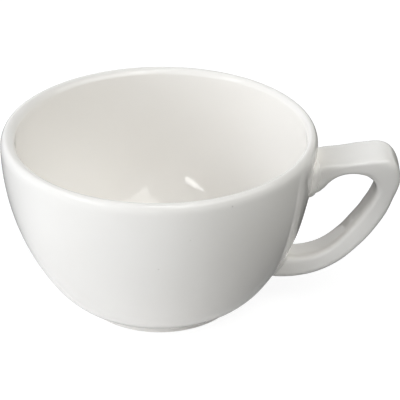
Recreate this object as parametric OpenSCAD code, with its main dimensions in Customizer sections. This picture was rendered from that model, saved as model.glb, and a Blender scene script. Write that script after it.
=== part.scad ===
// Cappuccino cup: a thick porcelain bowl on a low foot ring, and a solid cast handle that two beds
// of slip lute to its wall. The origin is the centre of the foot on the table, +Z is up and the
// handle points along +X. Radial places are written as [distance from the axis, height].

/* [Bowl] */
// Outside diameter of the rim
rim_d = 105; // [95:1:118]
// Height from the table to the top of the rim
cup_h = 62; // [55:1:72]
// Thickness of the wall
wall_t = 4.2; // [3:0.1:5.5]
// Thickness of the floor above the recess in the foot
floor_t = 4.4; // [3:0.1:7]
// Radius of the curve from the floor into the wall, inside
inner_heel_r = 25; // [12:1:28]

/* [Lip] */
// Height of the rounding on the lip's outer side
lip_outer_h = 3.6; // [2.6:0.1:5]
// Width of the rounding on the lip's outer side
lip_outer_w = 2; // [1:0.1:2.6]
// Height of the rounding on the lip's inner side, down to its crease
lip_inner_h = 1.8; // [0.8:0.1:2.4]

/* [Foot] */
// Outside diameter of the foot ring
foot_d = 52; // [44:1:60]
// Height of the foot ring below the belly
foot_h = 2; // [1.2:0.1:4]
// Width of the foot ring
foot_w = 4; // [2.5:0.1:7]
// Depth of the recess inside the foot ring
recess_h = 1.6; // [1:0.1:3]
// Rounding of the foot ring's edges at the table
foot_round = 0.5; // [0.2:0.1:0.8]

/* [Handle] */
// Distance from the rim down to the top of the finger gap
gap_drop = 12.4; // [9:0.1:16]
// Height of the bottom of the finger gap above the table
gap_low = 17.6; // [14:0.1:21]
// Distance from the rim out to the far end of the finger gap
gap_reach = 18.5; // [15:0.1:23]
// Thickness of the bar in the middle of the grip
bar_t = 8; // [6.5:0.1:9.5]
// Width of the bar across the thumb rest
bar_w = 17.4; // [13:0.1:21]

/* [Slip joints] */
// Thickness of the slip between the handle and the wall
slip_t = 0.5; // [0.3:0.1:1]
// How far the slip stands out round the handle's ends
slip_bead = 0.6; // [0.3:0.1:1.2]

/* [Hidden] */

// Facets of a full turn of the bowl, and straight pieces in each arc of its outline
turn_facets = 128;
long_arc_pieces = 16;
short_arc_pieces = 6;

// Where the belly's long arc meets the tighter heel, from the foot's top corner to the belly's top
heel_out_share = 0.447;
heel_up_share = 0.168;
// Turn of the lip's inner rounding at which its crease cuts it off
crease_angle = 150;

rim_r = rim_d / 2;
foot_r = foot_d / 2;
foot_inner_r = foot_r - foot_w;
belly_top_z = cup_h - lip_outer_h;
floor_z = recess_h + floor_t;

// The belly's arc is upright under the lip and runs through the heel point
foot_corner = [foot_r, foot_h];
heel_point = foot_corner
    + [(rim_r - foot_r) * heel_out_share, (belly_top_z - foot_h) * heel_up_share];
belly_span = [rim_r, belly_top_z] - heel_point;
belly_r = belly_span * belly_span / (2 * belly_span.x);
belly_centre = [rim_r - belly_r, belly_top_z];

// The heel's arc carries on from the belly without a kink and ends on the foot's top corner
heel_normal = (heel_point - belly_centre) / belly_r;
heel_span = heel_point - foot_corner;
heel_r = heel_span * heel_span / (2 * heel_normal * heel_span);
heel_centre = heel_point - heel_r * heel_normal;
heel_angle = direction(heel_centre, heel_point);
foot_angle = direction(heel_centre, foot_corner);

// Inside, the wall keeps its thickness down to the curve that runs into the flat floor
inner_r = rim_r - wall_t;
inner_belly_r = belly_r - wall_t;
inner_heel_z = floor_z + inner_heel_r;
inner_heel_reach = sqrt(pow(inner_belly_r - inner_heel_r, 2) - pow(belly_top_z - inner_heel_z, 2));
inner_heel_centre = [belly_centre.x + inner_heel_reach, inner_heel_z];
inner_heel_angle = direction(belly_centre, inner_heel_centre);

// The lip's crest, and the half axes of its two roundings
crest_r = rim_r - lip_outer_w;
lip_outer_axes = [lip_outer_w, lip_outer_h];
lip_inner_axes = [(inner_r - crest_r) / cos(crease_angle), lip_inner_h / (1 - sin(crease_angle))];

// The handle turns about a pole in the finger gap, in even steps from its upper end to its lower one
first_angle = 168;
section_angle = 20;
// The pole's place in the gap, outwards from the rim and upwards from the gap's bottom
pole_out_share = 0.405;
pole_up_share = 0.606;
// Lengths that the gap's radii follow, of its reach and of its height
gap_out_share = 0.65;
gap_up_share = 0.375;
// Radius of the gap, thickness of the bar and width of the bar at each section
section_shares = [
    [1.33, 1.13, 1.05], // hidden end in the wall
    [0.77, 1.45, 1.02], // upper pad
    [0.68, 1.39, 0.98],
    [0.80, 1.01, 0.96],
    [0.97, 0.69, 0.98], // dip under the thumb
    [1.09, 0.82, 1.00],
    [1.15, 1.34, 0.97], // outer corner
    [1.10, 1.22, 0.86],
    [0.86, 1.03, 0.76],
    [0.70, 1.01, 0.71],
    [0.66, 0.97, 0.69], // middle of the grip
    [0.68, 1.02, 0.69],
    [0.80, 1.12, 0.69],
    [1.10, 1.24, 0.72],
    [1.62, 1.28, 0.71], // lower tail
    [2.18, 1.43, 0.68],
    [2.75, 1.60, 0.63], // hidden end in the belly
];
last_section = len(section_shares) - 1;
// Steps between sections in which each end of the handle comes out of the wall
root_steps = 4;
// A section is a squared oval: a share of 1 would be an ellipse, and a small one a rectangle
section_bow_share = 0.67;
// Facets round the bar, and straight pieces from one section to the next
ring_facets = 24;
section_pieces = 4;

gap_h = cup_h - gap_drop - gap_low;
gap_axes = [gap_reach * gap_out_share, gap_h * gap_up_share];
pole = [rim_r + gap_reach * pole_out_share, gap_low + gap_h * pole_up_share];

// Direction from one point to another, in degrees
function direction(from, to) = atan2(to.y - from.y, to.x - from.x);

// Points on an arc with the given half axes
function arc(centre, axes, from, to, pieces) = [
    for (i = [0 : pieces])
        let (a = from + (to - from) * i / pieces)
        centre + [axes.x * cos(a), axes.y * sin(a)]
];

// Points after the first one, which the stretch before it already ends on
function onward(points) = [for (i = [1 : len(points) - 1]) points[i]];

// Outside of the bowl from the foot's top corner up to the lip, moved outwards by grow
function outer_outline(grow) = concat(
    arc(heel_centre, [1, 1] * (heel_r + grow), foot_angle, heel_angle, long_arc_pieces),
    onward(arc(belly_centre, [1, 1] * (belly_r + grow), heel_angle, 0, long_arc_pieces))
);

function foot_outline() = concat(
    [[0, recess_h], [foot_inner_r, recess_h]],
    arc([foot_inner_r + foot_round, foot_round], [1, 1] * foot_round, 180, 270, short_arc_pieces),
    arc([foot_r - foot_round, foot_round], [1, 1] * foot_round, -90, 0, short_arc_pieces)
);

function lip_outline() = concat(
    onward(arc([crest_r, belly_top_z], lip_outer_axes, 0, 90, short_arc_pieces)),
    onward(arc([crest_r, cup_h - lip_inner_axes.y], lip_inner_axes, 90, crease_angle, short_arc_pieces))
);

function inner_outline() = concat(
    arc(belly_centre, [1, 1] * inner_belly_r, 0, inner_heel_angle, long_arc_pieces),
    onward(arc(inner_heel_centre, [1, 1] * inner_heel_r, inner_heel_angle, -90, long_arc_pieces)),
    [[0, floor_z]]
);

// Value between the rows of a table, on a smooth curve through them
function between(rows, at) =
    let (
        last = len(rows) - 1,
        k = min(floor(at), last - 1),
        f = at - k,
        a = rows[max(k - 1, 0)],
        b = rows[k],
        c = rows[k + 1],
        d = rows[min(k + 2, last)]
    )
    b + f * (c - a + f * (2 * a - 5 * b + 4 * c - d + f * (3 * b - a - 3 * c + d))) / 2;

// A sine or cosine drawn out towards its corners, for a squared oval
function squared(value) = sign(value) * pow(abs(value), section_bow_share);

// One ring of points round the handle at a place among its sections, made fatter by grow
function handle_ring(at, grow) =
    let (
        shares = between(section_shares, at),
        a = first_angle - section_angle * at,
        outwards = [cos(a), 0, sin(a)],
        half_t = bar_t * shares[1] / 2,
        half_w = bar_w * shares[2] / 2,
        inner = [pole.x + gap_axes.x * shares[0] * cos(a), 0, pole.y + gap_axes.y * shares[0] * sin(a)],
        middle = inner + half_t * outwards
    )
    [
        for (i = [0 : ring_facets - 1])
            let (b = 360 * i / ring_facets)
            middle + (half_t + grow) * squared(cos(b)) * outwards + [0, (half_w + grow) * squared(sin(b)), 0]
    ];

// Solid bar through the rings between two sections
module handle_bar(first, last, grow) {
    rings = ceil((last - first) * section_pieces);
    points = [
        for (k = [0 : rings])
            each handle_ring(first + (last - first) * k / rings, grow)
    ];
    n = ring_facets;
    sides = [
        for (k = [0 : rings - 1], i = [0 : n - 1])
            let (p = k * n + i, q = k * n + (i + 1) % n)
            each [[p, q, q + n], [p, q + n, p + n]]
    ];
    first_cap = [for (i = [0 : n - 1]) n - 1 - i];
    last_cap = [for (i = [0 : n - 1]) rings * n + i];
    polyhedron(points, concat(sides, [first_cap, last_cap]));
}

// The bowl's outside as a solid with no hollow, moved outwards by grow
module filled_bowl(grow) {
    outline = outer_outline(grow);
    rotate_extrude($fn = turn_facets)
        polygon(concat([[0, outline[0].y]], outline, [[0, belly_top_z]]));
}

// Bed of slip between the wall and one end of the handle
module slip_joint(first, last) {
    intersection() {
        handle_bar(first, last, slip_bead);
        difference() {
            filled_bowl(slip_t);
            filled_bowl(0);
        }
    }
}

module bowl() {
    color("white")
        rotate_extrude($fn = turn_facets)
            polygon(concat(foot_outline(), outer_outline(0), lip_outline(), inner_outline()));
}

module handle() {
    color("whitesmoke")
        difference() {
            handle_bar(0, last_section, 0);
            filled_bowl(slip_t);
        }
}

module upper_slip_joint() {
    color("gainsboro") slip_joint(0, root_steps);
}

module lower_slip_joint() {
    color("gainsboro") slip_joint(last_section - root_steps, last_section);
}

bowl();
handle();
upper_slip_joint();
lower_slip_joint();
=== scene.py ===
"""Looks of a cappuccino cup: a glazed porcelain bowl, its cast handle and the slip joints between them.

Lengths are metres. The cup stands on z = 0 and its handle points along +X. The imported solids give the
overall sizes, and the fields of each class add what those leave plain: rounded creases, collars of slip
round the handle's ends, and the glaze.
"""

import logging
import math
from abc import ABC, abstractmethod
from dataclasses import dataclass, field
from enum import Enum
from functools import cached_property
from typing import Any

import bmesh
import bpy
from bmesh.types import BMEdge, BMesh, BMVert
from bpy.types import Material, Node, NodeSocket, NodeTree, Object
from mathutils import Matrix, Vector


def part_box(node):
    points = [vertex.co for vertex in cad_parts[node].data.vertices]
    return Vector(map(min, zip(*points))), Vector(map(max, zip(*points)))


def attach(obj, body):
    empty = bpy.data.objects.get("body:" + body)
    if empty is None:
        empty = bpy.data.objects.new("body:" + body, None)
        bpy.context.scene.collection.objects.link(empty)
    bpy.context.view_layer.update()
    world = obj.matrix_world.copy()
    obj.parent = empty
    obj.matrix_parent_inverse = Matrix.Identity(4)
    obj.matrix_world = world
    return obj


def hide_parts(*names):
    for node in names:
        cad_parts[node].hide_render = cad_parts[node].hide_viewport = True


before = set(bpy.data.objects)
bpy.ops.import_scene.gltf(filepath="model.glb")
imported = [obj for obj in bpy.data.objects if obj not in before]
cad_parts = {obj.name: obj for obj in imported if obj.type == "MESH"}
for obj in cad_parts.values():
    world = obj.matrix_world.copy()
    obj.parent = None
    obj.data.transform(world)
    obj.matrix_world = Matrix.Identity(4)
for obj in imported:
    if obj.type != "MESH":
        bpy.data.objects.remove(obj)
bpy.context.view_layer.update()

MM = 0.001
BODY = "root"
QUARTER_TURN = math.radians(90.0)
SHARP_ANGLE = math.radians(50.0)
LAMP_DISTANCE = 2.0

# Places of the Mix node's sockets for colours
MIX_SHARE, MIX_BASE, MIX_TOP, MIX_RESULT = 0, 6, 7, 2

Colour = tuple[float, float, float]
Point = tuple[float, float, float]
Span = tuple[float, float]

# The two tints of the lamps
COOL: Colour = (0.965, 1.0, 1.04)
WARM: Colour = (0.985, 1.0, 0.975)

log = logging.getLogger("cup")


def ease(low: float, high: float, value: float) -> float:
    """Eases from 0 at low to 1 at high.

    Args:
        low: Value at which the result leaves 0.
        high: Value at which the result reaches 1.
        value: Value to ease.

    Returns:
        A share from 0 to 1.
    """
    t = min(max((value - low) / (high - low), 0.0), 1.0)
    return t * t * (3.0 - 2.0 * t)


def polar(azimuth: float, elevation: float, distance: float) -> Vector:
    """Place round the cup, as seen from it.

    Args:
        azimuth: Degrees from the photographer's side, towards the handle.
        elevation: Degrees above the table.
        distance: Distance from the origin.

    Returns:
        The place as a vector.
    """
    a, e = math.radians(azimuth), math.radians(elevation)
    return distance * Vector((math.sin(a) * math.cos(e), -math.cos(a) * math.cos(e), math.sin(e)))


def hang(lamp: Object, away: Vector, aim: Vector) -> None:
    """Hangs a lamp in the scene and turns it to face a point.

    Args:
        lamp: The lamp.
        away: Where it hangs, from the point.
        aim: The point.
    """
    lamp.location = aim + away
    lamp.rotation_euler = (aim - lamp.location).to_track_quat("-Z", "Y").to_euler()
    bpy.context.scene.collection.objects.link(lamp)
    log.info("%s: %g W", lamp.name, lamp.data.energy)


def mesh_object(name: str, mesh: BMesh) -> Object:
    """Puts a finished mesh in the scene, and frees the one it was modelled in.

    Args:
        name: Name of the object and of its mesh.
        mesh: The mesh as it was modelled.

    Returns:
        The new object.
    """
    data = bpy.data.meshes.new(name)
    mesh.to_mesh(data)
    mesh.free()
    made = bpy.data.objects.new(name, data)
    bpy.context.scene.collection.objects.link(made)
    return made


@dataclass
class NodeGraph:
    """Adds nodes to a shader tree and wires them together."""

    tree: NodeTree

    def add(self, kind: str, **settings: Any) -> Node:
        """Adds one node.

        Args:
            kind: The node's type name.
            settings: Properties to set on it.

        Returns:
            The new node.
        """
        node = self.tree.nodes.new(kind)
        for name, value in settings.items():
            setattr(node, name, value)
        return node

    def wire(self, source: NodeSocket, target: NodeSocket) -> None:
        """Links an output to an input."""
        self.tree.links.new(source, target)

    def noise(self, coordinates: NodeSocket, scale: float, detail: float) -> NodeSocket:
        """Adds a noise pattern.

        Args:
            coordinates: Socket of the coordinates that it reads.
            scale: Blotches per metre.
            detail: Number of finer layers.

        Returns:
            The socket of the pattern's value.
        """
        node = self.add("ShaderNodeTexNoise")
        node.inputs["Scale"].default_value = scale
        node.inputs["Detail"].default_value = detail
        self.wire(coordinates, node.inputs["Vector"])
        return node.outputs["Fac"]

    def remap(self, value: NodeSocket, source: Span, target: Span) -> NodeSocket:
        """Maps a span of values to another one, smoothly and with its ends held.

        Args:
            value: Socket of the value.
            source: Span that comes in.
            target: Span that goes out.

        Returns:
            The socket of the mapped value.
        """
        node = self.add("ShaderNodeMapRange", interpolation_type="SMOOTHSTEP")
        numbers = (*source, *target)
        for name, number in zip(("From Min", "From Max", "To Min", "To Max"), numbers):
            node.inputs[name].default_value = number
        self.wire(value, node.inputs["Value"])
        return node.outputs["Result"]

    def math(self, operation: str, first: NodeSocket, second: NodeSocket) -> NodeSocket:
        """Joins two values.

        Args:
            operation: Operation of the Math node.
            first: Socket of the first value.
            second: Socket of the second value.

        Returns:
            The socket of the result.
        """
        node = self.add("ShaderNodeMath", operation=operation)
        self.wire(first, node.inputs[0])
        self.wire(second, node.inputs[1])
        return node.outputs[0]

    def blend(self, share: NodeSocket, base: NodeSocket | Colour, top: Colour) -> NodeSocket:
        """Blends a colour over another one.

        Args:
            share: Socket of the top colour's share.
            base: Colour below, or the socket of one.
            top: Colour above.

        Returns:
            The socket of the blended colour.
        """
        node = self.add("ShaderNodeMix", data_type="RGBA")
        if isinstance(base, NodeSocket):
            self.wire(base, node.inputs[MIX_BASE])
        else:
            node.inputs[MIX_BASE].default_value = (*base, 1.0)
        node.inputs[MIX_TOP].default_value = (*top, 1.0)
        self.wire(share, node.inputs[MIX_SHARE])
        return node.outputs[MIX_RESULT]

    def mix(self, share: NodeSocket, first: NodeSocket, second: NodeSocket) -> NodeSocket:
        """Mixes two shaders.

        Args:
            share: Socket of the second shader's share.
            first: Socket of the first shader.
            second: Socket of the second shader.

        Returns:
            The socket of the mixed shader.
        """
        node = self.add("ShaderNodeMixShader")
        for source, target in zip((share, first, second), node.inputs):
            self.wire(source, target)
        return node.outputs[0]

    def bump(self, height: NodeSocket, depth: float, below: NodeSocket | None = None) -> NodeSocket:
        """Raises the surface by a pattern.

        Args:
            height: Socket of the pattern.
            depth: Height of the pattern's full range.
            below: Socket of the normal that this one adds to.

        Returns:
            The socket of the new normal.
        """
        node = self.add("ShaderNodeBump")
        node.inputs["Strength"].default_value = 1.0
        node.inputs["Distance"].default_value = depth
        self.wire(height, node.inputs["Height"])
        if below is not None:
            self.wire(below, node.inputs["Normal"])
        return node.outputs["Normal"]


def new_material(name: str) -> tuple[Material, NodeGraph, Node]:
    """Starts a material.

    Args:
        name: The material's name.

    Returns:
        The material, its graph and its main shader.
    """
    material = bpy.data.materials.new(name)
    material.use_nodes = True
    return material, NodeGraph(material.node_tree), material.node_tree.nodes["Principled BSDF"]


@dataclass(frozen=True)
class Pinhole:
    """A fine flaw where the glaze has crawled back from a speck."""

    place: Point
    radius: float
    share: float


@dataclass(frozen=True)
class Glaze:
    """Clear glossy glaze over white porcelain, a little wavy and with a few specks."""

    name: str
    body: Colour = (0.948, 0.922, 0.888)
    pooled: Colour = (0.934, 0.906, 0.870)
    speck: Colour = (0.42, 0.39, 0.35)
    ior: float = 1.5
    tone_scale: float = 24.0
    tone_detail: float = 3.0
    tone_span: Span = (0.35, 0.7)
    gloss_scale: float = 90.0
    gloss_detail: float = 4.0
    gloss_span: Span = (0.3, 0.7)
    roughness: Span = (0.02, 0.045)
    wave_scale: float = 42.0
    wave_detail: float = 1.0
    wave_depth: float = 0.02 * MM
    peel_scale: float = 1500.0
    peel_detail: float = 2.0
    peel_depth: float = 0.0004 * MM
    speck_scale: float = 160.0
    speck_radius: float = 0.03
    speck_share: float = 0.5
    speck_rarity: float = 0.965
    pinholes: tuple[Pinhole, ...] = ()

    def material(self) -> Material:
        """Makes the glaze's material.

        Returns:
            The new material.
        """
        material, graph, shader = new_material(self.name)
        shader.inputs["IOR"].default_value = self.ior
        place = graph.add("ShaderNodeTexCoord").outputs["Object"]
        tone = graph.noise(place, self.tone_scale, self.tone_detail)
        colour = graph.blend(graph.remap(tone, self.tone_span, (0.0, 1.0)), self.body, self.pooled)
        colour = graph.blend(self.specks(graph, place), colour, self.speck)
        for pinhole in self.pinholes:
            colour = graph.blend(self.flaw(graph, place, pinhole), colour, self.speck)
        graph.wire(colour, shader.inputs["Base Color"])
        gloss = graph.noise(place, self.gloss_scale, self.gloss_detail)
        graph.wire(graph.remap(gloss, self.gloss_span, self.roughness), shader.inputs["Roughness"])
        waves = graph.noise(place, self.wave_scale, self.wave_detail)
        peel = graph.noise(place, self.peel_scale, self.peel_detail)
        wavy = graph.bump(waves, self.wave_depth)
        graph.wire(graph.bump(peel, self.peel_depth, wavy), shader.inputs["Normal"])
        return material

    def specks(self, graph: NodeGraph, place: NodeSocket) -> NodeSocket:
        """Scatters iron specks, in a few cells of a cell pattern.

        Args:
            graph: Graph that gets the nodes.
            place: Socket of the coordinates.

        Returns:
            The socket of the specks' share.
        """
        cells = graph.add("ShaderNodeTexVoronoi")
        cells.inputs["Scale"].default_value = self.speck_scale
        graph.wire(place, cells.inputs["Vector"])
        fade = (self.speck_radius, 2.0 * self.speck_radius)
        near = graph.remap(cells.outputs["Distance"], fade, (self.speck_share, 0.0))
        pick = graph.add("ShaderNodeSeparateColor")
        graph.wire(cells.outputs["Color"], pick.inputs["Color"])
        chosen = graph.remap(pick.outputs["Red"], (self.speck_rarity, 1.0), (0.0, 1.0))
        return graph.math("MULTIPLY", near, chosen)

    def flaw(self, graph: NodeGraph, place: NodeSocket, pinhole: Pinhole) -> NodeSocket:
        """Marks one pinhole.

        Args:
            graph: Graph that gets the nodes.
            place: Socket of the coordinates.
            pinhole: The pinhole.

        Returns:
            The socket of its share.
        """
        apart = graph.add("ShaderNodeVectorMath", operation="DISTANCE")
        apart.inputs[1].default_value = pinhole.place
        graph.wire(place, apart.inputs[0])
        return graph.remap(apart.outputs["Value"], (0.0, pinhole.radius), (pinhole.share, 0.0))


@dataclass(frozen=True)
class BareClay:
    """Unglazed porcelain, ground smooth, where the foot ring stood in the kiln."""

    name: str = "bare_foot_ring"
    body: Colour = (0.76, 0.73, 0.68)
    worn: Colour = (0.62, 0.59, 0.54)
    wear_scale: float = 420.0
    wear_detail: float = 5.0
    wear_span: Span = (0.45, 0.75)
    roughness: Span = (0.8, 0.62)
    grain_scale: float = 2600.0
    grain_detail: float = 3.0
    grain_depth: float = 0.02 * MM

    def material(self) -> Material:
        """Makes the bare clay's material.

        Returns:
            The new material.
        """
        material, graph, shader = new_material(self.name)
        place = graph.add("ShaderNodeTexCoord").outputs["Object"]
        patches = graph.noise(place, self.wear_scale, self.wear_detail)
        wear = graph.remap(patches, self.wear_span, (0.0, 1.0))
        graph.wire(graph.blend(wear, self.body, self.worn), shader.inputs["Base Color"])
        graph.wire(graph.remap(wear, (0.0, 1.0), self.roughness), shader.inputs["Roughness"])
        grain = graph.noise(place, self.grain_scale, self.grain_detail)
        graph.wire(graph.bump(grain, self.grain_depth), shader.inputs["Normal"])
        return material


@dataclass(frozen=True)
class BowlShape:
    """Outline of the bowl, turned about the Z axis, and the seat pressed in its wall for the handle."""

    rim_r: float
    height: float
    wall: float = 4.2 * MM
    floor: float = 4.4 * MM
    inner_heel_r: float = 25.0 * MM
    lip_outer_w: float = 2.0 * MM
    lip_outer_h: float = 3.6 * MM
    lip_inner_h: float = 1.8 * MM
    crease_turn: float = math.radians(150.0)
    foot_r: float = 26.0 * MM
    foot_h: float = 2.0 * MM
    foot_w: float = 4.0 * MM
    foot_round: float = 0.5 * MM
    recess: float = 1.6 * MM
    heel_out_share: float = 0.447
    heel_up_share: float = 0.168
    heel_limit_share: float = 0.999
    mouth_offset: float = 0.6 * MM
    seat_depth: float = 0.55 * MM
    seat_turns: Span = (math.radians(14.0), math.radians(34.0))
    seat_rise: Span = (26.0 * MM, 40.0 * MM)
    seat_fall: Span = (53.0 * MM, 57.5 * MM)
    slope_step: float = 0.05 * MM

    @cached_property
    def belly_top(self) -> float:
        """Height at which the lip's rounding starts."""
        return self.height - self.lip_outer_h

    @cached_property
    def floor_top(self) -> float:
        """Height of the floor inside the bowl."""
        return self.recess + self.floor

    @cached_property
    def foot_corner(self) -> Vector:
        """Corner between the foot ring and the heel, as distance from the axis and height."""
        return Vector((self.foot_r, self.foot_h))

    @cached_property
    def heel_point(self) -> Vector:
        """Point where the heel's arc runs on into the belly's."""
        out = (self.rim_r - self.foot_r) * self.heel_out_share
        return self.foot_corner + Vector((out, (self.belly_top - self.foot_h) * self.heel_up_share))

    @cached_property
    def belly_r(self) -> float:
        """Radius of the belly's arc, which is upright under the lip."""
        span = Vector((self.rim_r, self.belly_top)) - self.heel_point
        return span.length_squared / (2.0 * span.x)

    @cached_property
    def belly_centre(self) -> Vector:
        """Centre of the belly's arc."""
        return Vector((self.rim_r - self.belly_r, self.belly_top))

    @cached_property
    def heel_normal(self) -> Vector:
        """Outward direction at the heel point."""
        return (self.heel_point - self.belly_centre) / self.belly_r

    @cached_property
    def heel_r(self) -> float:
        """Radius of the heel's arc, which carries on from the belly without a kink."""
        span = self.heel_point - self.foot_corner
        return span.length_squared / (2.0 * self.heel_normal.dot(span))

    @cached_property
    def heel_centre(self) -> Vector:
        """Centre of the heel's arc."""
        return self.heel_point - self.heel_r * self.heel_normal

    @cached_property
    def inner_r(self) -> float:
        """Radius of the mouth at the lip's crease."""
        return self.rim_r - self.wall

    @cached_property
    def crest_r(self) -> float:
        """Radius of the lip's crest."""
        return self.rim_r - self.lip_outer_w

    @cached_property
    def lip_inner_axes(self) -> Vector:
        """Half axes of the lip's inner rounding."""
        across = (self.inner_r - self.crest_r) / math.cos(self.crease_turn)
        return Vector((across, self.lip_inner_h / (1.0 - math.sin(self.crease_turn))))

    @cached_property
    def inner_heel_centre(self) -> Vector:
        """Centre of the arc from the floor into the wall, inside.

        Returns:
            Its distance from the axis and its height.
        """
        up = self.floor_top + self.inner_heel_r
        slant = self.belly_r - self.wall - self.inner_heel_r
        return Vector((self.belly_centre.x + math.sqrt(slant**2 - (self.belly_top - up) ** 2), up))

    def outer_radius(self, z: float) -> float:
        """Radius of the bowl's outside at a height.

        Args:
            z: Height, from the foot's corner up to the lip.

        Returns:
            The radius.
        """
        if z > self.heel_point.y:
            drop = max(self.belly_top - z, 0.0)
            return self.belly_centre.x + math.sqrt(self.belly_r**2 - drop**2)
        drop = min(self.heel_centre.y - z, self.heel_limit_share * self.heel_r)
        return self.heel_centre.x + math.sqrt(self.heel_r**2 - drop**2)

    def seat(self, z: float, turn: float) -> float:
        """Depth of the handle's seat in the wall.

        Args:
            z: Height.
            turn: Angle about the Z axis from the handle, in radians.

        Returns:
            The depth, 0 away from the handle.
        """
        across = 1.0 - ease(*self.seat_turns, abs(turn))
        return self.seat_depth * across * ease(*self.seat_rise, z) * (1.0 - ease(*self.seat_fall, z))

    def wall_radius(self, z: float, turn: float) -> float:
        """Radius of the outside at a height and an angle, with the seat."""
        return self.outer_radius(z) - self.seat(z, turn)

    def on_wall(self, place: Vector, sink: float = 0.0) -> Vector:
        """Moves a point straight in or out to the wall.

        Args:
            place: The point.
            sink: How far below the wall's surface it ends.

        Returns:
            The moved point.
        """
        turn = math.atan2(place.y, place.x)
        radius = self.wall_radius(place.z, turn) - sink
        return Vector((radius * math.cos(turn), radius * math.sin(turn), place.z))

    def middle(self, ring: list[Vector], sink: float) -> Vector:
        """Middle of a ring of points, moved to the wall."""
        return self.on_wall(sum(ring, Vector()) / len(ring), sink)

    def clearance(self, place: Vector) -> float:
        """How far a point stands out from the wall."""
        turn = math.atan2(place.y, place.x)
        return math.hypot(place.x, place.y) - self.wall_radius(place.z, turn)

    def normal(self, place: Vector) -> Vector:
        """Outward direction of the wall.

        Args:
            place: A point near the wall.

        Returns:
            A unit vector.
        """
        step = self.slope_step
        slope = (self.outer_radius(place.z + step) - self.outer_radius(place.z - step)) / (2.0 * step)
        turn = math.atan2(place.y, place.x)
        return Vector((math.cos(turn), math.sin(turn), -slope)).normalized()


@dataclass
class OutlinePen:
    """Draws an outline in the XZ plane stretch by stretch, each one from the last point."""

    mesh: BMesh
    tip: BMVert

    @classmethod
    def start(cls, mesh: BMesh, r: float, z: float) -> "OutlinePen":
        """Sets the pen down at a distance from the axis and a height."""
        return cls(mesh, mesh.verts.new((r, 0.0, z)))

    def line(self, r: float, z: float) -> None:
        """Draws a straight stretch to a point.

        Args:
            r: The point's distance from the axis.
            z: Its height.
        """
        made = bmesh.ops.extrude_vert_indiv(self.mesh, verts=[self.tip])
        self.tip = made["verts"][0]
        self.tip.co = (r, 0.0, z)

    def arc(self, centre: Vector, turn: float, pieces: int, stretch: Vector = Vector((1.0, 1.0))) -> None:
        """Draws an arc round a centre.

        Args:
            centre: Centre of the arc.
            turn: Angle in radians, from the X axis towards the Z axis.
            pieces: Number of straight pieces.
            stretch: Factors along X and Z that make the arc an oval one.
        """
        pivot = Vector((centre.x, 0.0, centre.y))
        before = set(self.mesh.verts)
        made = bmesh.ops.spin(
            self.mesh, geom=[self.tip], cent=pivot, axis=(0.0, -1.0, 0.0), angle=turn, steps=pieces
        )
        drawn = [v for v in self.mesh.verts if v not in before]
        bmesh.ops.scale(
            self.mesh, vec=(stretch.x, 1.0, stretch.y), space=Matrix.Translation(-pivot), verts=drawn
        )
        self.tip = next(g for g in made["geom_last"] if isinstance(g, BMVert))


class HandleEnd(Enum):
    """The two ends of the handle, by the node of the slip that joins each to the wall."""

    UPPER = "upper_slip_joint"
    LOWER = "lower_slip_joint"


@dataclass(frozen=True)
class Section:
    """Shares of the gap's half axes, the bar's thickness and its width at one place of the handle."""

    gap: float
    thickness: float
    width: float

    @classmethod
    def between(cls, rows: "list[Section]", f: float) -> "Section":
        """Section on a smooth curve from the second of four sections to the third.

        Args:
            rows: The four sections.
            f: Share of the way.

        Returns:
            The section there.
        """

        def along(a: float, b: float, c: float, d: float) -> float:
            """One value on the curve."""
            bend = 2.0 * a - 5.0 * b + 4.0 * c - d + f * (3.0 * b - a - 3.0 * c + d)
            return b + f * (c - a + f * bend) / 2.0

        return cls(
            along(*(s.gap for s in rows)),
            along(*(s.thickness for s in rows)),
            along(*(s.width for s in rows)),
        )


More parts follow.
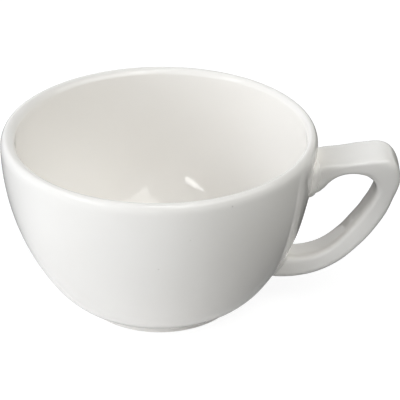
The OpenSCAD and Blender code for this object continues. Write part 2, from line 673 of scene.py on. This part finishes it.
@dataclass(frozen=True)
class HandleShape:
    """Skin of the handle: squared ovals that turn about a pole in the finger gap."""

    bowl: BowlShape
    gap_top: float = 49.6 * MM
    gap_low: float = 17.6 * MM
    gap_reach: float = 18.5 * MM
    thickness: float = 8.0 * MM
    width: float = 17.4 * MM
    first_turn: float = math.radians(168.0)
    step_turn: float = math.radians(20.0)
    pole_out_share: float = 0.405
    pole_up_share: float = 0.606
    gap_out_share: float = 0.65
    gap_up_share: float = 0.375
    squareness: float = 4.5
    slimness: float = 0.932
    slip: float = 0.5 * MM
    root_steps: float = 3.0
    halvings: int = 40
    lines: int = 72
    sections: tuple[Section, ...] = (
        Section(1.33, 1.13, 1.05),  # hidden end in the wall
        Section(0.77, 1.45, 1.02),  # upper pad
        Section(0.68, 1.39, 0.98),
        Section(0.80, 1.01, 0.96),
        Section(0.97, 0.69, 0.98),  # dip under the thumb
        Section(1.09, 0.82, 1.00),
        Section(1.15, 1.34, 0.97),  # outer corner
        Section(1.10, 1.22, 0.86),
        Section(0.86, 1.03, 0.76),
        Section(0.70, 1.01, 0.71),
        Section(0.66, 0.97, 0.69),  # middle of the grip
        Section(0.68, 1.02, 0.69),
        Section(0.80, 1.12, 0.69),
        Section(1.10, 1.24, 0.72),
        Section(1.62, 1.28, 0.71),  # lower tail
        Section(2.18, 1.43, 0.68),
        Section(2.75, 1.60, 0.63),  # hidden end in the belly
    )

    @cached_property
    def last(self) -> float:
        """Place of the last section."""
        return float(len(self.sections) - 1)

    @cached_property
    def gap_height(self) -> float:
        """Height of the finger gap."""
        return self.gap_top - self.gap_low

    @cached_property
    def gap_axes(self) -> Vector:
        """Half axes that the gap's radii follow, outwards and upwards."""
        return Vector((self.gap_reach * self.gap_out_share, self.gap_height * self.gap_up_share))

    @cached_property
    def pole(self) -> Vector:
        """Pole that the sections turn about."""
        out = self.bowl.rim_r + self.gap_reach * self.pole_out_share
        return Vector((out, self.gap_low + self.gap_height * self.pole_up_share))

    @cached_property
    def sides(self) -> list[float]:
        """Angles round the bar of the lines that its skin is drawn through."""
        return [math.tau * i / self.lines for i in range(self.lines)]

    def section(self, at: float) -> Section:
        """Section at a place among the listed ones.

        Args:
            at: The place, in sections from the upper end.

        Returns:
            The section there.
        """
        k = min(int(at), len(self.sections) - 2)
        rows = [self.sections[min(max(k + i, 0), len(self.sections) - 1)] for i in (-1, 0, 1, 2)]
        return Section.between(rows, at - k)

    def point(self, at: float, side: float, grow: float = 0.0) -> Vector:
        """Point on the handle's skin.

        Args:
            at: Place along the handle, in sections from its upper end.
            side: Angle round the bar, from its outer side, in radians.
            grow: How far the point stands off the skin.

        Returns:
            The point.
        """
        section = self.section(at)
        turn = self.first_turn - self.step_turn * at
        outwards = Vector((math.cos(turn), 0.0, math.sin(turn)))
        half_t = self.thickness * section.thickness / 2.0
        half_w = self.width * section.width / 2.0
        inner_x = self.pole.x + self.gap_axes.x * section.gap * outwards.x
        inner_z = self.pole.y + self.gap_axes.y * section.gap * outwards.z
        c, s = math.cos(side), math.sin(side)
        reach = (abs(c) ** self.squareness + abs(s) ** self.squareness) ** (-1.0 / self.squareness)
        out = half_t + (half_t * self.slimness + grow) * reach * c
        across = (half_w * self.slimness + grow) * reach * s
        return Vector((inner_x, across, inner_z)) + out * outwards

    def meets(self, end: HandleEnd, side: float, clearance: float) -> float:
        """Place along the handle where a line of its skin stands off the wall by a set amount.

        Args:
            end: The end of the handle.
            side: Angle round the bar of the line.
            clearance: How far the point stands off the wall.

        Returns:
            The place, in sections.
        """
        upper = end is HandleEnd.UPPER
        inside, outside = (0.0, self.root_steps) if upper else (self.last, self.last - self.root_steps)
        for _ in range(self.halvings):
            middle = (inside + outside) / 2.0
            if self.bowl.clearance(self.point(middle, side)) < clearance:
                inside = middle
            else:
                outside = middle
        return outside


@dataclass
class Skin:
    """Skin drawn through rings of points, by extruding the edges of the last ring."""

    mesh: BMesh
    ring: list[BMVert]

    @classmethod
    def start(cls, mesh: BMesh, points: list[Vector]) -> "Skin":
        """Starts a skin from a circle that is bent to the first ring of points.

        Args:
            mesh: Mesh that gets the skin.
            points: Points of the ring, in order.

        Returns:
            The new skin.
        """
        made = bmesh.ops.create_circle(mesh, cap_ends=False, radius=MM, segments=len(points))
        for vertex, point in zip(made["verts"], points):
            vertex.co = point
        return cls(mesh, made["verts"])

    def edges(self) -> list[BMEdge]:
        """Edges of the last ring, in order."""
        pairs = zip(self.ring, self.ring[1:] + self.ring[:1])
        return [self.mesh.edges.get(pair) for pair in pairs]

    def draw(self, points: list[Vector]) -> None:
        """Extrudes the last ring to a new ring of points.

        Args:
            points: Points of the new ring, in order.
        """
        made = bmesh.ops.extrude_edge_only(self.mesh, edges=self.edges())
        fresh = {g for g in made["geom"] if isinstance(g, BMVert)}
        self.ring = [
            next(e.other_vert(v) for e in v.link_edges if e.other_vert(v) in fresh) for v in self.ring
        ]
        for vertex, point in zip(self.ring, points):
            vertex.co = point

    def cap(self, centre: Vector) -> None:
        """Closes the last ring with a fan.

        Args:
            centre: Middle of the fan.
        """
        faces = bmesh.ops.edgeloop_fill(self.mesh, edges=self.edges())["faces"]
        fan = bmesh.ops.poke(self.mesh, faces=faces)
        fan["verts"][0].co = centre


class Piece(ABC):
    """One piece of the cup, which stands for its node of the frame."""

    name: str
    node: str
    glaze: Material

    @abstractmethod
    def model(self, mesh: BMesh) -> None:
        """Models the piece in an empty mesh."""

    def dress(self, piece: Object) -> None:
        """Glazes the piece."""
        piece.data.materials.append(self.glaze)

    def make(self) -> None:
        """Models and dresses the piece, and ties it to the frame."""
        mesh = bmesh.new()
        self.model(mesh)
        bmesh.ops.recalc_face_normals(mesh, faces=mesh.faces)
        piece = mesh_object(self.name, mesh)
        piece.data.shade_smooth()
        piece.data.set_sharp_from_angle(angle=SHARP_ANGLE)
        self.dress(piece)
        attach(piece, BODY)
        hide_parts(self.node)
        log.info("%s: %d faces, stands for %s", self.name, len(piece.data.polygons), self.node)


@dataclass
class Bowl(Piece):
    """The bowl: an outline turned about the Z axis, with its mouth a little off centre."""

    shape: BowlShape
    glaze: Material
    bare: Material
    name: str = "glazed_bowl"
    node: str = "bowl"
    steps: int = 224
    foot_pieces: int = 6
    heel_pieces: int = 18
    belly_pieces: int = 48
    lip_outer_pieces: int = 16
    lip_inner_pieces: int = 12
    inside_pieces: int = 44
    inside_heel_pieces: int = 28
    merge_distance: float = 0.001 * MM
    crease_angle: float = math.radians(20.0)
    crease_round: float = 0.22 * MM
    crease_segments: int = 3
    bare_height: float = 0.15 * MM

    def model(self, mesh: BMesh) -> None:
        """Draws the outline, turns it and shapes the mouth and the handle's seat.

        Args:
            mesh: Empty mesh that gets the bowl.
        """
        self.draw_outline(mesh)
        bmesh.ops.spin(
            mesh,
            geom=mesh.verts[:] + mesh.edges[:],
            axis=(0.0, 0.0, 1.0),
            angle=math.tau,
            steps=self.steps,
            use_merge=True,
        )
        bmesh.ops.remove_doubles(mesh, verts=mesh.verts, dist=self.merge_distance)
        bmesh.ops.recalc_face_normals(mesh, faces=mesh.faces)
        creases = [e for e in mesh.edges if e.calc_face_angle(0.0) > self.crease_angle]
        bmesh.ops.bevel(
            mesh,
            geom=creases,
            offset=self.crease_round,
            affect="EDGES",
            segments=self.crease_segments,
            profile=0.5,
            material=-1,
        )
        self.shape_wall(mesh)

    def draw_outline(self, mesh: BMesh) -> None:
        """Draws the outline from the middle of the recess round to the middle of the floor.

        Args:
            mesh: Mesh that gets the outline.
        """
        s = self.shape
        inner_foot = s.foot_r - s.foot_w
        pen = OutlinePen.start(mesh, 0.0, s.recess)
        pen.line(inner_foot, s.recess)
        pen.line(inner_foot, s.foot_round)
        pen.arc(Vector((inner_foot + s.foot_round, s.foot_round)), QUARTER_TURN, self.foot_pieces)
        pen.line(s.foot_r - s.foot_round, 0.0)
        pen.arc(Vector((s.foot_r - s.foot_round, s.foot_round)), QUARTER_TURN, self.foot_pieces)
        pen.line(*s.foot_corner)
        heel, foot = s.heel_point - s.heel_centre, s.foot_corner - s.heel_centre
        heel_turn = math.atan2(heel.y, heel.x) - math.atan2(foot.y, foot.x)
        pen.arc(s.heel_centre, heel_turn, self.heel_pieces)
        belly = s.heel_point - s.belly_centre
        pen.arc(s.belly_centre, -math.atan2(belly.y, belly.x), self.belly_pieces)
        tall = Vector((1.0, s.lip_outer_h / s.lip_outer_w))
        pen.arc(Vector((s.crest_r, s.belly_top)), QUARTER_TURN, self.lip_outer_pieces, tall)
        axes = s.lip_inner_axes
        narrow = Vector((axes.x / axes.y, 1.0))
        lip_centre = Vector((s.crest_r, s.height - axes.y))
        pen.arc(lip_centre, s.crease_turn - QUARTER_TURN, self.lip_inner_pieces, narrow)
        pen.line(s.inner_r, s.belly_top)
        inside = s.inner_heel_centre - s.belly_centre
        inside_turn = math.atan2(inside.y, inside.x)
        pen.arc(s.belly_centre, inside_turn, self.inside_pieces)
        pen.arc(s.inner_heel_centre, -QUARTER_TURN - inside_turn, self.inside_heel_pieces)
        pen.line(0.0, s.floor_top)

    def shape_wall(self, mesh: BMesh) -> None:
        """Presses the handle's seat in the outside and moves the mouth off centre.

        Args:
            mesh: Mesh of the turned bowl.
        """
        s = self.shape
        for vertex in mesh.verts:
            r, z = math.hypot(vertex.co.x, vertex.co.y), vertex.co.z
            if s.foot_h < z < s.belly_top and r > s.outer_radius(z) - s.wall / 2.0:
                dent = s.seat(z, math.atan2(vertex.co.y, vertex.co.x)) / r
                vertex.co.xy = vertex.co.xy * (1.0 - dent)
            elif z > s.floor_top:
                inwards = ease(0.0, s.crest_r - s.inner_r, s.crest_r - r)
                vertex.co.x += s.mouth_offset * inwards * ease(s.floor_top, s.height, z)

    def dress(self, piece: Object) -> None:
        """Glazes the bowl and leaves the face that it stands on bare.

        Args:
            piece: The bowl.
        """
        super().dress(piece)
        piece.data.materials.append(self.bare)
        for face in piece.data.polygons:
            face.material_index = int(face.center.z < self.bare_height)


@dataclass
class Handle(Piece):
    """The cast handle, from the upper slip joint round to the lower one."""

    shape: HandleShape
    glaze: Material
    name: str = "glazed_handle"
    node: str = "handle"
    rings: int = 132

    def model(self, mesh: BMesh) -> None:
        """Draws the skin from one end to the other and caps both ends.

        Args:
            mesh: Empty mesh that gets the handle.
        """
        shape = self.shape
        first = [shape.meets(HandleEnd.UPPER, side, shape.slip) for side in shape.sides]
        last = [shape.meets(HandleEnd.LOWER, side, shape.slip) for side in shape.sides]

        def ring(share: float) -> list[Vector]:
            """Ring of points at a share of the handle's length."""
            ends = zip(first, last, shape.sides)
            return [shape.point(a + (b - a) * share, side) for a, b, side in ends]

        start = ring(0.0)
        skin = Skin.start(mesh, start)
        skin.cap(shape.bowl.middle(start, -shape.slip))
        for k in range(1, self.rings + 1):
            skin.draw(ring(k / self.rings))
        skin.cap(shape.bowl.middle(ring(1.0), -shape.slip))


@dataclass(frozen=True)
class Reach:
    """How far a collar of slip reaches at the sides, the outer side and the inner side of the bar."""

    sides: float
    outer: float
    inner: float

    def at(self, side: float) -> float:
        """Reach at an angle round the bar."""
        c, s = math.cos(side), math.sin(side)
        return self.sides * s * s + (self.outer if c > 0.0 else self.inner) * c * c


@dataclass
class SlipJoint(Piece):
    """Bed of slip under one end of the handle, with the collar that was wiped round it."""

    end: HandleEnd
    shape: HandleShape
    glaze: Material
    along_bar: Reach
    along_wall: Reach
    name: str
    hollow: float
    edge: float = 0.12 * MM
    sink: float = 0.03 * MM
    rings: int = 10
    node: str = field(init=False)

    def __post_init__(self) -> None:
        """Takes the node's name from the end."""
        self.node = self.end.value

    def model(self, mesh: BMesh) -> None:
        """Draws the collar from the wall to the bar, and closes it with the bed's two faces.

        Args:
            mesh: Empty mesh that gets the joint.
        """
        shape, sides = self.shape, self.shape.sides
        corner = [shape.point(shape.meets(self.end, a, 0.0), a) for a in sides]
        foot = self.wall_ring(corner)
        places = [shape.meets(self.end, a, self.along_bar.at(a)) for a in sides]
        top = [shape.point(at, a, self.edge) for at, a in zip(places, sides)]
        skin = Skin.start(mesh, foot)
        skin.cap(shape.bowl.middle(foot, self.sink))
        for k in range(1, self.rings + 1):
            t = k / self.rings
            skin.draw([self.collar(f, c, p, t) for f, c, p in zip(foot, corner, top)])
        skin.draw([shape.point(at, a, -self.sink) for at, a in zip(places, sides)])
        bed = [shape.point(shape.meets(self.end, a, shape.slip), a, -self.sink) for a in sides]
        skin.draw(bed)
        skin.cap(shape.bowl.middle(bed, -shape.slip))

    def collar(self, foot: Vector, corner: Vector, top: Vector, t: float) -> Vector:
        """Point on the collar's curve, which is hollow or stands out as a bead.

        Args:
            foot: Its end on the wall.
            corner: Corner between the wall and the bar.
            top: Its end on the bar.
            t: Share of the way from the wall.

        Returns:
            The point.
        """
        pull = ((foot + top) / 2.0).lerp(corner, self.hollow)
        return foot * (1.0 - t) ** 2 + pull * (2.0 * t * (1.0 - t)) + top * t * t

    def wall_ring(self, corner: list[Vector]) -> list[Vector]:
        """Ring where the collar runs out on the wall.

        Args:
            corner: Points where the bar's skin would meet the wall.

        Returns:
            The points of the ring, sunk a little in the wall.
        """
        bowl, ring = self.shape.bowl, []
        middle = sum(corner, Vector()) / len(corner)
        for i, (side, place) in enumerate(zip(self.shape.sides, corner)):
            tangent = corner[(i + 1) % len(corner)] - corner[i - 1]
            away = tangent.cross(bowl.normal(place)).normalized()
            if away.dot(place - middle) < 0.0:
                away.negate()
            ring.append(bowl.on_wall(place + away * self.along_wall.at(side), self.sink))
        return ring


class LampUse(Enum):
    """What the glaze takes from a lamp: its light or its mirror image."""

    LIGHT = "light"
    GLINT = "glint"


@dataclass(frozen=True)
class Lamp:
    """A soft box that faces the cup."""

    name: str
    azimuth: float
    elevation: float
    size: Span
    power: float
    colour: Colour
    use: LampUse

    def place(self, aim: Vector) -> None:
        """Hangs the lamp and aims it.

        Args:
            aim: Point that it faces.
        """
        data = bpy.data.lights.new(self.name, "AREA")
        data.shape = "RECTANGLE"
        data.size, data.size_y = self.size
        data.energy = self.power
        data.color = self.colour
        lamp = bpy.data.objects.new(self.name, data)
        lamp.visible_camera = False
        lamp.visible_diffuse = self.use is LampUse.LIGHT
        lamp.visible_glossy = self.use is LampUse.GLINT
        hang(lamp, polar(self.azimuth, self.elevation, LAMP_DISTANCE), aim)


@dataclass(frozen=True)
class Snoot:
    """A lamp in a narrow tube, which lights one part of the cup and isn't mirrored."""

    name: str
    azimuth: float
    elevation: float
    aim: Point
    spread: float
    power: float
    colour: Colour
    blend: float = 1.0
    opening: float = 0.02

    def place(self) -> None:
        """Hangs the lamp and aims it."""
        data = bpy.data.lights.new(self.name, "SPOT")
        data.energy = self.power
        data.color = self.colour
        data.spot_size = math.radians(self.spread)
        data.spot_blend = self.blend
        data.shadow_soft_size = self.opening
        lamp = bpy.data.objects.new(self.name, data)
        lamp.visible_camera = lamp.visible_glossy = False
        hang(lamp, polar(self.azimuth, self.elevation, LAMP_DISTANCE), Vector(self.aim))


class CardOutline(Enum):
    """Outlines of the cards, by their number of corners."""

    OBLONG = 4
    ROUND = 64


@dataclass(frozen=True)
class Card:
    """Dark card on the table, which the camera can't see and the glaze mirrors.

    It lies between two corners. Along its own X, its cover goes from one share to another between the two
    places of its fade. A card that shades also keeps the table's light from the cup. Two of the cards are
    painted shadow: dark sheets laid where the cup's shade falls on the table, so that the glaze mirrors
    it.
    """

    name: str
    low: Span
    high: Span
    fade: Span
    cover: Span
    turn: float = 0.0
    lift: float = 0.3 * MM
    grey: float = 0.06
    outline: CardOutline = CardOutline.OBLONG
    shades: bool = True

    def place(self) -> None:
        """Lays the card on the table."""
        mesh = bmesh.new()
        if self.outline is CardOutline.ROUND:
            bmesh.ops.create_circle(mesh, cap_ends=True, radius=0.5, segments=self.outline.value)
        else:
            bmesh.ops.create_grid(mesh, x_segments=1, y_segments=1, size=0.5)
        span = Vector(self.high) - Vector(self.low)
        middle = (Vector(self.high) + Vector(self.low)) / 2.0
        bmesh.ops.scale(mesh, vec=(span.x, span.y, 1.0), verts=mesh.verts)
        bmesh.ops.translate(mesh, vec=(middle.x, middle.y, self.lift), verts=mesh.verts)
        card = mesh_object(self.name, mesh)
        card.data.materials.append(self.paint())
        card.rotation_euler.z = math.radians(self.turn)
        card.visible_camera = card.visible_shadow = card.visible_transmission = False
        card.visible_diffuse = self.shades

    def paint(self) -> Material:
        """Makes the card's paint.

        Returns:
            The material, which is clear from below.
        """
        material, graph, shader = new_material(self.name)
        shader.inputs["Base Color"].default_value = (self.grey, self.grey, self.grey, 1.0)
        shader.inputs["Roughness"].default_value = 1.0
        shader.inputs["Specular IOR Level"].default_value = 0.0
        along = graph.add("ShaderNodeSeparateXYZ")
        graph.wire(graph.add("ShaderNodeTexCoord").outputs["Object"], along.inputs[0])
        cover = graph.remap(along.outputs["X"], self.fade, self.cover)
        below = graph.add("ShaderNodeNewGeometry").outputs["Backfacing"]
        above = graph.remap(below, (0.0, 1.0), (1.0, 0.0))
        graph.wire(graph.math("MULTIPLY", cover, above), shader.inputs["Alpha"])
        return material


@dataclass(frozen=True)
class Studio:
    """White table and surround, soft lamps, and the camera at the photograph's angle."""

    target: Point = (13.47 * MM, 0.0, 36.26 * MM)
    camera_elevation: float = 28.29
    camera_distance: float = 738.6 * MM
    lens: float = 198.0
    sensor: float = 36.0
    table_half: float = 4.0
    table_drop: float = 0.05 * MM
    table_glow: float = 0.87
    table_seen: float = 0.25
    table_white: float = 0.8
    table_lift: float = 0.17
    surround: float = 0.08
    cards: tuple[Card, ...] = (
        # Painted shadow: a dark card to the right of the cup, where its shadow falls. The glaze mirrors
        # it, and it keeps the table's light off the handle's side.
        Card("painted_cup_shadow_card", (-0.7, -0.6), (0.7, 0.8), (-0.01, 0.075), (0.2, 1.0), turn=6.0),
        Card("back_card", (0.0, -0.6), (0.7, 0.6), (0.01, 0.08), (0.0, 0.85), turn=115.0, lift=0.6 * MM),
        # Painted shadow: a round dark card under the foot. Only the glaze mirrors it, as the contact
        # shadow round the foot.
        Card(
            "painted_contact_shadow_card",
            (-0.03, -0.03),
            (0.03, 0.03),
            (-0.03, 0.03),
            (0.4, 0.5),
            lift=0.9 * MM,
            outline=CardOutline.ROUND,
            shades=False,
        ),
    )
    lamps: tuple[Lamp, ...] = (
        Lamp("key_box", -58.0, 14.0, (2.1, 0.96), 22.2, COOL, LampUse.LIGHT),
        Lamp("side_box", -72.0, 51.0, (1.4, 0.9), 6.4, COOL, LampUse.LIGHT),
        Lamp("far_box", -112.0, 30.0, (1.2, 0.9), 9.0, COOL, LampUse.LIGHT),
        Lamp("front_box", 8.0, 7.0, (0.9, 0.4), 1.5, WARM, LampUse.LIGHT),
        Lamp("fill_box", 54.0, 52.0, (2.8, 1.3), 23.6, WARM, LampUse.LIGHT),
        Lamp("back_box", 115.0, 42.0, (0.9, 0.9), 2.0, WARM, LampUse.LIGHT),
        Lamp("window_glint", 54.0, 48.0, (2.8, 1.0), 22.0, WARM, LampUse.GLINT),
        Lamp("streak_glint", -39.0, 25.2, (0.95, 0.12), 2.2, WARM, LampUse.GLINT),
        Lamp("edge_glint", 8.0, 62.0, (0.9, 0.2), 6.0, WARM, LampUse.GLINT),
        Lamp("left_glint", -62.0, 33.0, (0.5, 0.3), 2.6, COOL, LampUse.GLINT),
        Lamp("rear_box", 180.0, 11.0, (0.9, 0.6), 10.0, COOL, LampUse.LIGHT),
    )
    snoot: Snoot = Snoot("handle_snoot", -4.0, 4.0, (64.0 * MM, 0.0, 21.0 * MM), 1.5, 37.0, COOL)

    def build(self) -> None:
        """Sets up the camera, the surround, the table with its cards, and the lamps."""
        bpy.context.scene.view_settings.view_transform = "Standard"
        self.place_camera()
        self.paint_surround()
        self.lay_table()
        for card in self.cards:
            card.place()
        for lamp in self.lamps:
            lamp.place(Vector(self.target))
        self.snoot.place()

    def place_camera(self) -> None:
        """Stands the camera where the photograph was taken from."""
        data = bpy.data.cameras.new("camera")
        data.lens, data.sensor_width = self.lens, self.sensor
        camera = bpy.data.objects.new("camera", data)
        camera.location = Vector(self.target) + polar(0.0, self.camera_elevation, self.camera_distance)
        camera.rotation_euler = (math.radians(90.0 - self.camera_elevation), 0.0, 0.0)
        bpy.context.scene.collection.objects.link(camera)
        bpy.context.scene.camera = camera

    def seen(self, graph: NodeGraph) -> NodeSocket:
        """Share of white that a ray sees: all of it from the camera, in a gloss or through glass.

        Args:
            graph: Graph that gets the nodes.

        Returns:
            The socket of the share.
        """
        path = graph.add("ShaderNodeLightPath").outputs
        seen = graph.math("MAXIMUM", path["Is Camera Ray"], path["Is Glossy Ray"])
        return graph.math("MAXIMUM", seen, path["Is Transmission Ray"])

    def paint_surround(self) -> None:
        """Makes the surround white to the eye and a soft fill to the cup."""
        world = bpy.data.worlds.new("white_surround")
        world.use_nodes = True
        bpy.context.scene.world = world
        graph = NodeGraph(world.node_tree)
        sky = world.node_tree.nodes["Background"]
        sky.inputs["Color"].default_value = (1.0, 1.0, 1.0, 1.0)
        strength = graph.remap(self.seen(graph), (0.0, 1.0), (self.surround, 1.0))
        graph.wire(strength, sky.inputs["Strength"])

    def lay_table(self) -> None:
        """Lays the white table, which keeps a faint shadow of the cup."""
        mesh = bmesh.new()
        bmesh.ops.create_grid(mesh, x_segments=1, y_segments=1, size=self.table_half)
        bmesh.ops.translate(mesh, verts=mesh.verts, vec=(0.0, 0.0, -self.table_drop))
        table = mesh_object("white_table", mesh)
        table.data.materials.append(self.table_paint())

    def table_paint(self) -> Material:
        """Makes the table's paint.

        Returns:
            The material, white to the eye from above and clear from below.
        """
        material = bpy.data.materials.new("white_table")
        material.use_nodes = True
        material.cycles.emission_sampling = "NONE"
        material.node_tree.nodes.clear()
        graph = NodeGraph(material.node_tree)
        plain = self.glowing_white(graph, self.table_white, self.table_lift)
        bright = self.glowing_white(graph, self.table_seen, self.table_glow)
        above = graph.mix(self.seen(graph), plain, bright)
        below = graph.add("ShaderNodeBsdfTransparent").outputs[0]
        from_below = graph.add("ShaderNodeNewGeometry").outputs["Backfacing"]
        out = graph.add("ShaderNodeOutputMaterial")
        graph.wire(graph.mix(from_below, above, below), out.inputs["Surface"])
        return material

    def glowing_white(self, graph: NodeGraph, white: float, glow: float) -> NodeSocket:
        """White paint that glows a little.

        Args:
            graph: Graph that gets the nodes.
            white: Share of the light that the paint throws back.
            glow: Strength of the glow.

        Returns:
            The socket of the shader.
        """
        paint = graph.add("ShaderNodeBsdfDiffuse")
        paint.inputs["Color"].default_value = (white, white, white, 1.0)
        light = graph.add("ShaderNodeEmission")
        light.inputs["Strength"].default_value = glow
        both = graph.add("ShaderNodeAddShader")
        graph.wire(paint.outputs[0], both.inputs[0])
        graph.wire(light.outputs[0], both.inputs[1])
        return both.outputs[0]


def main() -> None:
    """Builds the studio and then the cup, piece by piece."""
    logging.basicConfig(level=logging.INFO, format="%(name)s %(message)s")
    Studio().build()
    top_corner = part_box("bowl")[1]
    bowl = BowlShape(rim_r=top_corner.y, height=top_corner.z)
    handle = HandleShape(bowl)
    pinholes = (
        Pinhole((0.39 * MM, -49.98 * MM, 38.28 * MM), 0.45 * MM, 0.3),
        Pinhole((10.5 * MM, -50.91 * MM, 49.29 * MM), 0.4 * MM, 0.2),
        Pinhole((23.61 * MM, -46.81 * MM, 59.15 * MM), 0.5 * MM, 0.4),
    )
    glaze = Glaze("white_glaze", pinholes=pinholes).material()
    Bowl(bowl, glaze, BareClay().material()).make()
    Handle(handle, glaze).make()
    SlipJoint(
        HandleEnd.UPPER,
        handle,
        glaze,
        along_bar=Reach(sides=2.4 * MM, outer=0.7 * MM, inner=0.8 * MM),
        along_wall=Reach(sides=1.5 * MM, outer=0.7 * MM, inner=0.8 * MM),
        name="upper_slip_collar",
        hollow=-0.8,
    ).make()
    SlipJoint(
        HandleEnd.LOWER,
        handle,
        glaze,
        along_bar=Reach(sides=2.2 * MM, outer=1.2 * MM, inner=2.0 * MM),
        along_wall=Reach(sides=2.3 * MM, outer=1.0 * MM, inner=2.2 * MM),
        name="lower_slip_collar",
        hollow=0.0,
    ).make()


if __name__ == "__main__":
    main()
